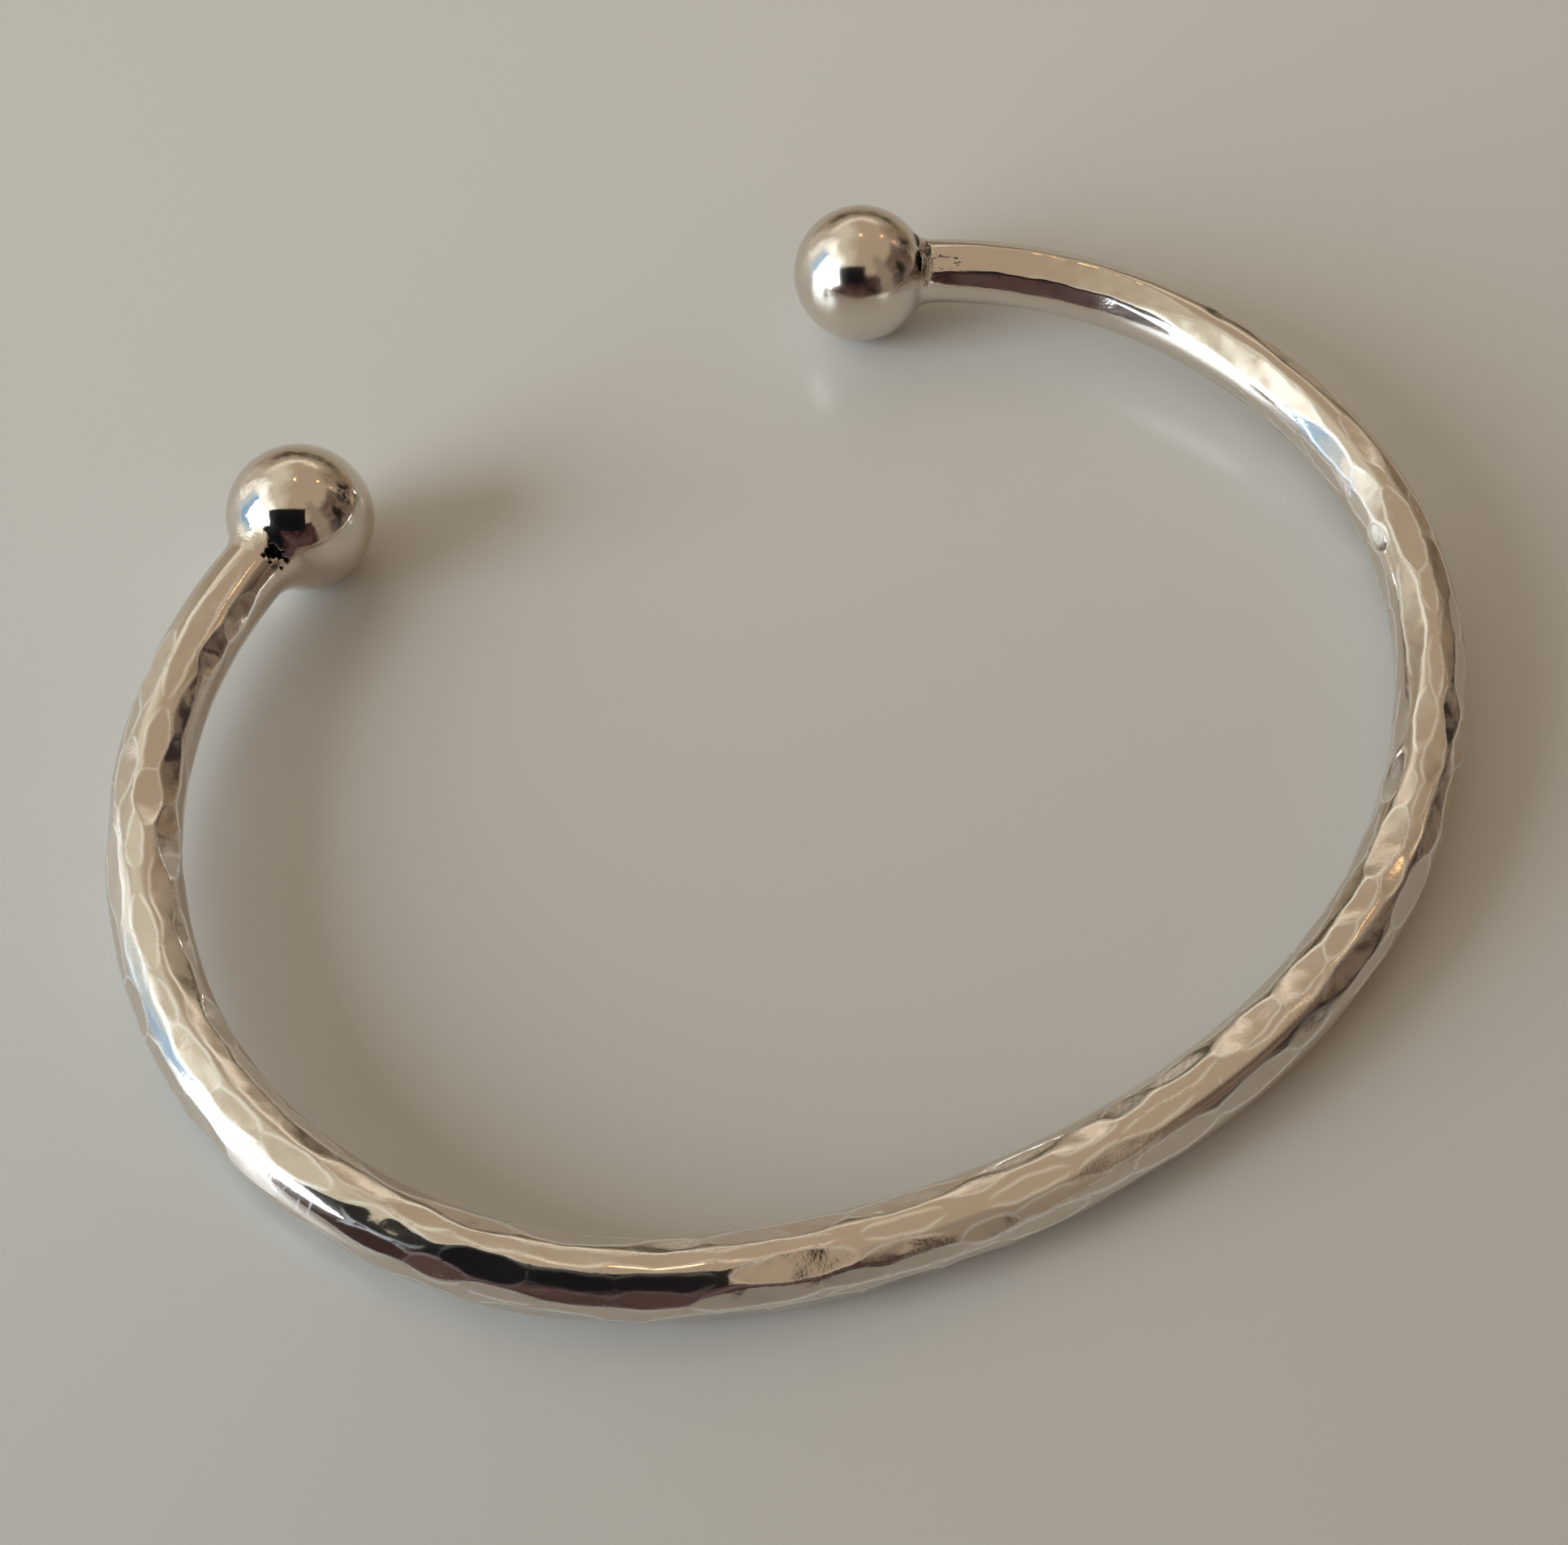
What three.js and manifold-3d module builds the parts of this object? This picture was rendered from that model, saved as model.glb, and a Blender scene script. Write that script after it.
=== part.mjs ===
// A hammered silver cuff bracelet: a round bar bent into an open oval, with a ball soldered on each end.
// Millimetres, +Z up. It lies on its side, with its opening towards +Y.
import * as THREE from 'three';
import { ParametricGeometry } from 'three/addons/geometries/ParametricGeometry.js';
import { mergeVertices } from 'three/addons/utils/BufferGeometryUtils.js';
import Module from 'manifold-3d';

const wasm = await Module();
wasm.setup();

// Driving dimensions, in millimetres.
const cuffLength = 167.4;        // along the middle of the bar, from ball centre to ball centre
const barDiameter = 3.74;        // over the ridges between the hammer marks
const ballDiameter = 8;
const leftSolder = 2.2;          // radius of the hollow fillet of solder between ball and bar
const rightSolder = 1.4;
const wearDepth = 0.07;          // worn off where the cuff touches the table
const barSink = 0.08;            // the back of the bar sits this much lower, which its marks take off again

// Hammering: rows of long marks run along the bar, side by side around it.
const markRows = 9;
const markPitch = 3.8;           // from mark to mark along a row
const markLength = 5;            // of an average mark
const markWidth = 44;            // degrees around the bar
const fadeAtLeftBall = 6;        // beside each ball the scattered marks fade out over this way
const fadeAtRightBall = 34;
const wristSideWidth = 0.75;     // share of the width on the side that lies on the wrist

// How the bar is bent from the left ball to the right one: the share of the length between the two straight
// ends, and the turn in degrees over that share.
const bends = [
  { name: 'left end', share: 0.176, turn: 52.7 },
  { name: 'left side', share: 0.197, turn: 72.8 },
  { name: 'back left', share: 0.188, turn: 37.1 },
  { name: 'back right', share: 0.173, turn: 42.4 },
  { name: 'right side', share: 0.168, turn: 56.2 },
  { name: 'right end', share: 0.098, turn: 40.4 },
];

// Marks that show on the side facing up. Each row: distance from the left ball, angle around the bar (0
// away from the wrist, 90 up), length, and width in degrees.
const setMarks = {
  facingTheWrist: [
    [8.4, 147, 3.6, 36], [11.2, 140, 3.4, 40], [15.3, 131, 4, 28], [19.6, 134, 5, 38], [23.7, 141, 4.8, 50],
    [29.8, 139, 3.6, 30], [35.4, 139, 3.2, 38], [39.2, 136, 4.4, 24], [43.3, 134, 3.8, 28],
    [52.5, 121, 4.4, 34], [61.5, 118, 3.4, 30], [66.5, 124, 6.5, 40], [72.3, 124, 5.5, 36],
    [78.2, 121, 3.6, 26], [86.5, 149, 4.5, 34], [87.4, 123, 3.6, 36], [90.2, 149, 3, 30],
    [94, 147, 4.8, 34], [98.3, 147, 3.4, 32], [101, 128, 3.4, 28], [104.5, 150, 4.5, 30],
    [109.5, 142, 3.8, 40], [113.6, 148, 4.4, 30], [127, 150, 2.4, 34], [129.7, 157, 3.2, 26],
    [156.5, 155, 16, 34],
  ],
  alongTheTop: [
    [10.4, 98, 9.5, 34], [18, 103, 4.4, 36], [27, 118, 4.3, 31], [31.4, 118, 4.7, 35], [35.8, 112, 4.4, 26],
    [40, 111, 4.6, 26], [43.6, 115, 3.6, 30], [47, 105, 4.3, 24], [50.4, 99, 3.2, 28], [53.6, 96, 3.6, 22],
    [57, 94, 4.4, 24], [61.2, 94, 4.6, 24], [66, 93, 5.4, 22], [71.8, 83, 3.8, 26], [75.5, 105, 2.4, 18],
    [77.8, 74, 3.9, 24], [81.2, 112, 3.4, 34], [83.8, 118, 2.6, 32], [86.3, 99, 5, 24],
    [91.2, 117, 4.8, 42], [95.2, 117, 4.6, 40], [98, 97, 3.4, 32], [100.5, 103, 3.8, 35],
    [104.7, 118, 5.2, 46], [108.3, 112, 2.8, 24], [113.1, 104, 4.5, 36], [116.7, 94, 4.2, 22],
    [120.3, 126, 8, 36], [122.4, 93, 3.5, 28], [129.7, 130, 4.4, 36], [133.2, 88, 4.2, 34],
    [142, 128, 13, 44], [156, 112, 19, 52],
  ],
  overTheOuterEdge: [
    [13.3, 59, 5.2, 40], [15.8, 50, 4, 26], [19.6, 59, 4.2, 40], [21.6, 70, 5, 26], [23.8, 85, 3.4, 27],
    [29.3, 83, 4.3, 32], [33.5, 77, 2.9, 20], [36.8, 75, 4.5, 34], [40.1, 73, 4, 30], [44, 77, 4.2, 34],
    [49, 67, 4.1, 32], [53.7, 60, 4, 42], [57.4, 60, 4.2, 26], [61.2, 60, 4.4, 28], [66.8, 62, 5.4, 42],
    [71.5, 51, 3.6, 27], [75.5, 38, 2.8, 30], [78.5, 44, 4, 22], [82.1, 60, 4.4, 30], [84.7, 78, 4, 24],
    [91.7, 87, 3.4, 25], [94.6, 84, 2.9, 20], [102.9, 80, 2.7, 27], [105.7, 79, 2.4, 20],
    [108, 83, 2.5, 17], [111.4, 83, 4.9, 33], [114, 62, 4, 37], [118.6, 71, 5.2, 28], [120.5, 51, 2.8, 30],
    [123.6, 65, 5, 34], [127.5, 60, 3.4, 34], [130, 68, 2.6, 24], [139.7, 68, 6.8, 36],
    [145.7, 76, 1.3, 24], [155, 66, 17, 30],
  ],
  facingOutwards: [
    [25.5, 43, 6, 36], [30.6, 57, 3.4, 20], [42.3, 23, 3.2, 26], [48.8, 38, 3.6, 26], [51.7, 36, 2.8, 34],
    [54.4, 25, 2.8, 22], [57.5, 36, 3.8, 20], [60.8, 38, 3.4, 30], [65.2, 30, 5.8, 36], [69.3, 31, 3.2, 28],
    [70.5, 3, 5, 30], [72.4, 28, 3.8, 27], [74.4, 3, 3.6, 28], [78, 15, 4.2, 32], [81.4, 33, 3.2, 22],
    [84.9, 28, 5, 38], [90, 30, 5.2, 36], [93.6, 38, 3.2, 29], [97.7, 55, 5.2, 38], [98.5, 29, 4.2, 26],
    [103, 36, 4.6, 44], [107.7, 49, 6, 34], [112.4, 33, 3.8, 38], [117, 46, 4.8, 34],
  ],
};

// Fineness of the faceted surface.
const sides = 30;
const barStations = 168;
const ballStations = 11;
const filletStations = 4;
const outlineSamples = 400;

const barRadius = barDiameter / 2;
const ballRadius = ballDiameter / 2;
const degree = Math.PI / 180;

const straightEnd = ballRadius * 0.975;   // within the ball and its solder

// Ways from the ball's centre between which the fillet runs. Its arc is centred one fillet radius outside
// both the ball and the bar.
function filletReach(solder) {
  const end = Math.sqrt((ballRadius + solder) ** 2 - (barRadius + solder) ** 2);
  return { start: end * ballRadius / (ballRadius + solder), end };
}

const leftFillet = filletReach(leftSolder);
const rightFillet = filletReach(rightSolder);

// The path as a list of pieces, each with its start, heading and turn, starting from the left ball's centre.
function bendPath() {
  const bentLength = cuffLength - 2 * straightEnd;
  const rows = [
    { length: straightEnd, turn: 0 },
    ...bends.map((bend) => ({ length: bend.share * bentLength, turn: bend.turn * degree })),
    { length: straightEnd, turn: 0 },
  ];
  let start = { distance: 0, x: 0, y: 0, heading: 0 };
  return rows.map((row) => {
    const piece = { ...row, start };
    const end = along(piece, row.length);
    start = { distance: start.distance + row.length, ...end };
    return piece;
  });
}

// Place and heading a given way along one piece, straight or an arc.
function along(piece, way) {
  const { x, y, heading } = piece.start;
  if (piece.turn === 0) {
    return { x: x + way * Math.cos(heading), y: y + way * Math.sin(heading), heading };
  }
  const radius = piece.length / piece.turn;
  const turned = heading + way / radius;
  return {
    x: x + radius * (Math.sin(turned) - Math.sin(heading)),
    y: y + radius * (Math.cos(heading) - Math.cos(turned)),
    heading: turned,
  };
}

// Middle of the bar at a distance from the left ball's centre. Both balls lie on one line along X, and the
// outline of the cuff is centred on the origin.
class BarPath {
  constructor() {
    this.pieces = bendPath();
    this.turned = 0;
    this.shift = { x: 0, y: 0 };
    const right = this.at(cuffLength);
    this.turned = -Math.atan2(right.y, right.x);
    const samples = Array.from({ length: outlineSamples + 1 },
      (_, k) => this.at(cuffLength * k / outlineSamples));
    const across = samples.map((place) => place.x);
    const back = Math.min(...samples.map((place) => place.y));
    this.reach = this.at(0).y - back;
    this.shift = { x: -(Math.min(...across) + Math.max(...across)) / 2, y: -this.at(0).y };
  }

  at(distance) {
    const found = this.pieces.findLast((piece) => piece.start.distance <= distance) ?? this.pieces[0];
    const place = along(found, distance - found.start.distance);
    const cos = Math.cos(this.turned);
    const sin = Math.sin(this.turned);
    return {
      x: place.x * cos - place.y * sin + this.shift.x,
      y: place.x * sin + place.y * cos + this.shift.y,
      heading: place.heading + this.turned,
    };
  }
}

// Radius of the plain turned form a given way from a ball's centre, negative on its far side.
function endRadius(way, solder, fillet) {
  if (way < fillet.start) {
    return Math.sqrt(Math.max(ballRadius ** 2 - way ** 2, 0));
  }
  if (way < fillet.end) {
    return barRadius + solder - Math.sqrt(solder ** 2 - (fillet.end - way) ** 2);
  }
  return barRadius;
}

function plainRadius(distance) {
  const onLeft = distance < cuffLength / 2;
  return onLeft ? endRadius(distance, leftSolder, leftFillet)
    : endRadius(cuffLength - distance, rightSolder, rightFillet);
}

// A repeatable scatter between -1 and 1 for the nth mark.
function scatter(n, salt) {
  const wave = Math.sin(n * 12.9898 + salt * 78.233) * 43758.5453;
  return 2 * (wave - Math.floor(wave)) - 1;
}

// Marks scattered in rows all around the bar.
function scatteredMarks() {
  const perRow = Math.round(cuffLength / markPitch);
  const hammeredEnd = cuffLength - rightFillet.end;
  const scattered = [];
  for (let row = 0; row < markRows; row += 1) {
    for (let n = 0; n < perRow; n += 1) {
      const id = row * perRow + n;
      const distance = (n + 0.5 * (row % 2) + 0.5 + 0.34 * scatter(id, 1)) * cuffLength / perRow;
      const angle = (row + 0.5 + 0.26 * scatter(id, 2)) * 360 / markRows;
      const fromLeft = THREE.MathUtils.smoothstep(distance - leftFillet.end, 0, fadeAtLeftBall);
      const fromRight = THREE.MathUtils.smoothstep(hammeredEnd - distance, 0, fadeAtRightBall);
      const onWristSide = THREE.MathUtils.smoothstep(-Math.cos(angle * degree), 0.2, 0.9);
      const narrowed = 1 - (1 - wristSideWidth) * onWristSide;
      scattered.push({
        distance,
        angle,
        length: markLength * (1 + 0.35 * scatter(id, 4)),
        width: markWidth * (1 + 0.25 * scatter(id, 3)) * fromLeft * fromRight * narrowed,
      });
    }
  }
  return scattered.filter((mark) => mark.width > 4);
}

// The set marks, and the scattered ones that lie clear of them.
function hammerMarks() {
  const set = Object.values(setMarks).flat()
    .map(([distance, angle, length, width]) => ({ distance, angle, length, width }));
  const free = scatteredMarks().filter((mark) => set.every((other) => {
    const offAlong = (mark.distance - other.distance) / (0.5 * other.length + 0.9);
    const offAround = (mark.angle - other.angle) / (0.5 * other.width + 14);
    return offAlong ** 2 + offAround ** 2 > 1;
  }));
  return [...free, ...set];
}

// Each mark is a flat across the bar, as deep as its width makes it, that runs out along it in a long hollow.
const marks = hammerMarks().map((mark) => {
  const depth = barRadius * (1 - Math.cos(mark.width * degree / 2));
  return { ...mark, turn: mark.angle * degree, depth, hollow: (mark.length / 2) ** 2 / (2 * depth) };
});

// Depth cut into the round bar by the deepest mark at this place.
function markCut(distance, angle) {
  let cut = 0;
  for (const mark of marks) {
    const off = distance - mark.distance;
    const aside = Math.cos(angle - mark.turn);
    if (Math.abs(off) < mark.length && aside > 0.5) {
      const flat = (barRadius - mark.depth + off ** 2 / (2 * mark.hollow)) / aside;
      cut = Math.max(cut, barRadius - flat);
    }
  }
  const fromLeft = THREE.MathUtils.smoothstep(distance - leftFillet.end, -0.3, 1.2);
  const fromRight = THREE.MathUtils.smoothstep(cuffLength - distance - rightFillet.end, -0.4, 0.8);
  return cut * fromLeft * fromRight;
}

// Distances of the cross-sections: close together over each ball and fillet, and even along the bar.
function endStations(fillet) {
  const ways = [];
  const filletAngle = Math.acos(fillet.start / ballRadius);
  for (let k = 0; k <= ballStations; k += 1) {
    ways.push(ballRadius * Math.cos(Math.PI + (filletAngle - Math.PI) * k / ballStations));
  }
  for (let k = 1; k <= filletStations; k += 1) {
    ways.push(fillet.start + (fillet.end - fillet.start) * Math.sin(Math.PI / 2 * k / filletStations));
  }
  return ways;
}

function stations() {
  const middle = [];
  const hammered = cuffLength - leftFillet.end - rightFillet.end;
  for (let k = 1; k < barStations; k += 1) {
    middle.push(leftFillet.end + hammered * k / barStations);
  }
  const right = endStations(rightFillet).map((way) => cuffLength - way).reverse();
  return [...endStations(leftFillet), ...middle, ...right];
}

// The whole surface, as a function of the place along the stations and the turn around the bar.
function cuffGeometry() {
  const path = new BarPath();
  const places = stations();
  const last = places.length - 1;
  const lean = Math.asin((ballRadius - barRadius + barSink) / path.reach);
  const surface = (u, v, target) => {
    const distance = places[Math.round(u * last)];
    const inside = THREE.MathUtils.clamp(distance, 0, cuffLength);
    const middle = path.at(inside);
    const beyond = distance - inside;
    const angle = v * 2 * Math.PI;
    const radius = plainRadius(distance) - markCut(distance, angle);
    const outward = radius * Math.cos(angle);
    target.set(
      middle.x + beyond * Math.cos(middle.heading) + outward * Math.sin(middle.heading),
      middle.y + beyond * Math.sin(middle.heading) - outward * Math.cos(middle.heading),
      radius * Math.sin(angle),
    );
  };
  const geometry = new ParametricGeometry(surface, last, sides);
  geometry.rotateX(lean);
  geometry.translate(0, 0, ballRadius - wearDepth);
  return geometry;
}

// A three.js geometry as a solid: vertices shared, and triangles that closed up at the poles left out.
function toSolid(geometry) {
  const bare = geometry.clone();
  bare.deleteAttribute('normal');
  bare.deleteAttribute('uv');
  const merged = mergeVertices(bare);
  const index = Array.from(merged.index.array);
  const triVerts = [];
  for (let k = 0; k < index.length; k += 3) {
    const [a, b, c] = index.slice(k, k + 3);
    if (a !== b && b !== c && c !== a) {
      triVerts.push(a, b, c);
    }
  }
  return new wasm.Manifold(new wasm.Mesh({
    numProp: 3,
    vertProperties: Float32Array.from(merged.attributes.position.array),
    triVerts: Uint32Array.from(triVerts),
  }));
}

function toGeometry(solid) {
  const mesh = solid.getMesh();
  const geometry = new THREE.BufferGeometry();
  geometry.setAttribute('position', new THREE.BufferAttribute(mesh.vertProperties, mesh.numProp));
  geometry.setIndex(new THREE.BufferAttribute(mesh.triVerts, 1));
  geometry.computeVertexNormals();
  return geometry;
}

// The tabletop takes a small flat off each ball and off the back of the bar.
function wornFlat(solid) {
  const slab = new THREE.BoxGeometry(2 * cuffLength, 2 * cuffLength, ballDiameter);
  slab.translate(0, 0, -ballRadius);
  return solid.subtract(toSolid(slab));
}

const silver = new THREE.MeshStandardMaterial({ color: 0xd9d4cb, roughness: 0.16, metalness: 1 });
const cuff = new THREE.Mesh(toGeometry(wornFlat(toSolid(cuffGeometry()))), silver);
cuff.name = 'cuff';

// The origin lies under the middle of the cuff's outline, on the table.
const outline = new THREE.Box3().setFromObject(cuff);
const middle = outline.getCenter(new THREE.Vector3());
cuff.position.set(-middle.x, -middle.y, -outline.min.z);

const bracelet = new THREE.Group();
bracelet.add(cuff);

export default bracelet;
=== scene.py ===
# Hammered silver cuff bracelet with ball ends, lying on a pale table.
import math
import bpy
import numpy as np
from mathutils import Matrix, Vector


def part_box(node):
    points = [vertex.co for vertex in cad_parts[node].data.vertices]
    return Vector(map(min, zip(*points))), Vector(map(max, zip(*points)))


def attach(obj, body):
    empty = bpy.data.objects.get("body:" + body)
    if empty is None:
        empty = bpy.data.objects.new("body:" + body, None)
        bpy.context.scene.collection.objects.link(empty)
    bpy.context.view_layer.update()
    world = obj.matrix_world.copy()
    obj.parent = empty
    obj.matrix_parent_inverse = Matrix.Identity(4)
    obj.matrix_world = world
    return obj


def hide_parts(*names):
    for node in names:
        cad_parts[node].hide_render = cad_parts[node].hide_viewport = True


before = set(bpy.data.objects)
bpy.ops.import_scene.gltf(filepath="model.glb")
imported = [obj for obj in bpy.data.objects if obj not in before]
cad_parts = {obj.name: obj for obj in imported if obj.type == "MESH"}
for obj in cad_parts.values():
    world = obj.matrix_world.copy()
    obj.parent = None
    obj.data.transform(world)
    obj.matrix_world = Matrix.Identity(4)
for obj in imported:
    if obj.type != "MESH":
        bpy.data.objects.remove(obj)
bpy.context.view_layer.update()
print("frame loaded")

mm = 0.001


# SILVER BAR AND BALLS
# sizes in millimetres, the same as the solid's
cuff = {
    "length": 167.4,  # along the middle of the bar, ball centre to ball centre
    "bar": 3.74,
    "ball": 8.0,
    "solderLeft": 2.2,  # hollow fillet between each ball and the bar
    "solderRight": 1.4,
    "wear": 0.07,  # worn off where it touches the table
    "markRows": 9,
    "markPitch": 3.8,
    "markLength": 5.0,
    "markWidth": 44,  # degrees round the bar
    "plainLeft": 6,  # beside each ball the scattered marks fade out over this way
    "plainRight": 34,
    "wristSide": 0.75,  # share of the width on the side that lies on the wrist
    "lean": 0.08,  # half a mark's depth, by which the bar sits lower
    "ridge": 0.016,  # rounding of the ridges between marks
    "ridgeWearAndSheenWidth": 0.12,  # half width of the crests painted bright: burnished by wear and a painted highlight
    "waver": 0.07,  # how far the marks' edges stray from even curves
    "sides": 160,
    "barSteps": 1380,
    "ballSteps": 84,
    "filletSteps": 60,
    "pieces": 3,
}

# share of the length between the straight ends, and turn in degrees, from the left ball to the right one
bends = [
    ("left end", 0.176, 52.7),
    ("left side", 0.197, 72.8),
    ("back left", 0.188, 37.1),
    ("back right", 0.173, 42.4),
    ("right side", 0.168, 56.2),
    ("right end", 0.098, 40.4),
]

# marks listed one by one on the side that faces up: distance from the left ball, angle round the bar (0
# away from the wrist, 90 up), length, and width in degrees. The ones along the top at 81.2, 91.2, 95.2
# and 104.7 lie 6 to 13 degrees off the solid's.
setMarks = {
    "facing the wrist": [
        (8.4, 147, 3.6, 36), (11.2, 140, 3.4, 40), (15.3, 131, 4.0, 28), (19.6, 134, 5.0, 38),
        (23.7, 141, 4.8, 50), (29.8, 139, 3.6, 30), (35.4, 139, 3.2, 38), (39.2, 136, 4.4, 24),
        (43.3, 134, 3.8, 28), (52.5, 121, 4.4, 34), (61.5, 118, 3.4, 30), (66.5, 124, 6.5, 40),
        (72.3, 124, 5.5, 36), (78.2, 121, 3.6, 26), (86.5, 149, 4.5, 34), (87.4, 123, 3.6, 36),
        (90.2, 149, 3.0, 30), (94.0, 147, 4.8, 34), (98.3, 147, 3.4, 32), (101.0, 128, 3.4, 28),
        (104.5, 150, 4.5, 30), (109.5, 142, 3.8, 40), (113.6, 148, 4.4, 30), (127.0, 150, 2.4, 34),
        (129.7, 157, 3.2, 26), (156.5, 155, 16.0, 34),
    ],
    "along the top": [
        (10.4, 98, 9.5, 34), (18.0, 103, 4.4, 36), (27.0, 118, 4.3, 31), (31.4, 118, 4.7, 35),
        (35.8, 112, 4.4, 26), (40.0, 111, 4.6, 26), (43.6, 115, 3.6, 30), (47.0, 105, 4.3, 24),
        (50.4, 99, 3.2, 28), (53.6, 96, 3.6, 22), (57.0, 94, 4.4, 24), (61.2, 94, 4.6, 24),
        (66.0, 93, 5.4, 22), (71.8, 83, 3.8, 26), (75.5, 105, 2.4, 18), (77.8, 74, 3.9, 24),
        (81.2, 106, 3.4, 34), (83.8, 118, 2.6, 32), (86.3, 99, 5.0, 24), (91.2, 104, 4.8, 46),
        (95.2, 104, 4.6, 44), (98.0, 97, 3.4, 32), (100.5, 103, 3.8, 35), (104.7, 108, 5.2, 46),
        (108.3, 112, 2.8, 24), (113.1, 104, 4.5, 36), (116.7, 94, 4.2, 22), (120.3, 126, 8.0, 36),
        (122.4, 93, 3.5, 28), (129.7, 130, 4.4, 36), (133.2, 88, 4.2, 34), (142.0, 128, 13.0, 44),
        (156.0, 112, 19.0, 52),
    ],
    "over the outer edge": [
        (13.3, 59, 5.2, 40), (15.8, 50, 4.0, 26), (19.6, 59, 4.2, 40), (21.6, 70, 5.0, 26),
        (23.8, 85, 3.4, 27), (29.3, 83, 4.3, 32), (33.5, 77, 2.9, 20), (36.8, 75, 4.5, 34),
        (40.1, 73, 4.0, 30), (44.0, 77, 4.2, 34), (49.0, 67, 4.1, 32), (53.7, 60, 4.0, 42),
        (57.4, 60, 4.2, 26), (61.2, 60, 4.4, 28), (66.8, 62, 5.4, 42), (71.5, 51, 3.6, 27),
        (75.5, 38, 2.8, 30), (78.5, 44, 4.0, 22), (82.1, 60, 4.4, 30), (84.7, 78, 4.0, 24),
        (91.7, 87, 3.4, 25), (94.6, 84, 2.9, 20), (102.9, 80, 2.7, 27), (105.7, 79, 2.4, 20),
        (108.0, 83, 2.5, 17), (111.4, 83, 4.9, 33), (114.0, 62, 4.0, 37), (118.6, 71, 5.2, 28),
        (120.5, 51, 2.8, 30), (123.6, 65, 5.0, 34), (127.5, 60, 3.4, 34), (130.0, 68, 2.6, 24),
        (139.7, 68, 6.8, 36), (145.7, 76, 1.3, 24), (155.0, 66, 17.0, 30),
    ],
    "facing outwards": [
        (25.5, 43, 6.0, 36), (30.6, 57, 3.4, 20), (42.3, 23, 3.2, 26), (48.8, 38, 3.6, 26),
        (51.7, 36, 2.8, 34), (54.4, 25, 2.8, 22), (57.5, 36, 3.8, 20), (60.8, 38, 3.4, 30),
        (65.2, 30, 5.8, 36), (69.3, 31, 3.2, 28), (70.5, 3, 5.0, 30), (72.4, 28, 3.8, 27),
        (74.4, 3, 3.6, 28), (78.0, 15, 4.2, 32), (81.4, 33, 3.2, 22), (84.9, 28, 5.0, 38),
        (90.0, 30, 5.2, 36), (93.6, 38, 3.2, 29), (97.7, 55, 5.2, 38), (98.5, 29, 4.2, 26),
        (103.0, 36, 4.6, 44), (107.7, 49, 6.0, 34), (112.4, 33, 3.8, 38), (117.0, 46, 4.8, 34),
    ],
}

# spots rubbed rough and painted pale as a highlight, the one at 127 mm being a painted window glint:
# distance from the left ball, angle round the bar, half length, half width in degrees, and strength
rubbedAndSheenSpots = [
    (14.0, 158, 1.8, 11, 0.6),
    (62.0, 121, 1.3, 11, 0.9),
    (78.3, 120, 1.7, 7, 0.8),
    (83.9, 116, 1.3, 16, 0.8),
    (87.0, 122, 1.7, 12, 1.0),
    (110.0, 143, 0.8, 12, 0.6),
    # a painted window glint on the rough silver
    (127.0, 150, 1.0, 12, 0.8),
    (131.5, 160, 1.2, 9, 0.6),
]

# flaws of the solder: ball it is beside, way from that ball's centre, angle round the bar,
# half length along, half width around, depth, and how black it is (less than 0: only its rim is)
solderFlaws = [
    ("left", 3.92, 125, 0.33, 0.40, 0.34, 1.0),
    ("left", 3.72, 138, 0.20, 0.26, 0.22, 1.0),
    ("left", 3.67, 149, 0.10, 0.14, 0.10, 0.9),
    ("left", 4.14, 154, 0.09, 0.12, 0.10, 0.9),
    ("left", 4.36, 119, 0.13, 0.14, 0.12, 0.9),
    ("left", 4.42, 134, 0.10, 0.12, 0.08, 0.8),
    ("right", 3.28, 84, 0.17, 0.70, 0.10, 0.45),
    ("right", 3.30, 124, 0.20, 0.60, 0.15, 0.70),
    ("right", 3.95, 98, 0.22, 0.90, 0.05, 0.35),
    ("right", 4.90, 122, 0.80, 0.50, 0.05, -0.45),
    ("right", 3.68, 163, 0.14, 0.20, -0.12, 0.0),
]

barRadius = cuff["bar"] / 2
ballRadius = cuff["ball"] / 2
straightEnd = ballRadius * 0.975


def filletReach(solder):
    # the fillet's arc is centred one fillet radius outside both ball and bar
    end = math.sqrt((ballRadius + solder) ** 2 - (barRadius + solder) ** 2)
    return end * ballRadius / (ballRadius + solder), end


def pathPlaces(distance):
    # middle of the bar: straight ends joined by arcs, x += r (sin h1 - sin h0), y += r (cos h0 - cos h1)
    bent = cuff["length"] - 2 * straightEnd
    rows = [(straightEnd, 0.0)] + [(share * bent, math.radians(turn)) for _, share, turn in bends]
    rows.append((straightEnd, 0.0))
    x, y, heading, start = 0.0, 0.0, 0.0, 0.0
    px, py, ph = (np.zeros_like(distance) for _ in range(3))
    for length, turn in rows:
        here = distance >= start
        way = distance - start
        if turn == 0:
            px = np.where(here, x + way * math.cos(heading), px)
            py = np.where(here, y + way * math.sin(heading), py)
            ph = np.where(here, heading, ph)
            x, y = x + length * math.cos(heading), y + length * math.sin(heading)
        else:
            r = length / turn
            turned = heading + way / r
            px = np.where(here, x + r * (np.sin(turned) - math.sin(heading)), px)
            py = np.where(here, y + r * (math.cos(heading) - np.cos(turned)), py)
            ph = np.where(here, turned, ph)
            x += r * (math.sin(heading + turn) - math.sin(heading))
            y += r * (math.cos(heading) - math.cos(heading + turn))
            heading += turn
        start += length
    back = -math.atan2(y, x)  # both balls on one line along X
    c, s = math.cos(back), math.sin(back)
    return px * c - py * s, px * s + py * c, ph + back


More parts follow.
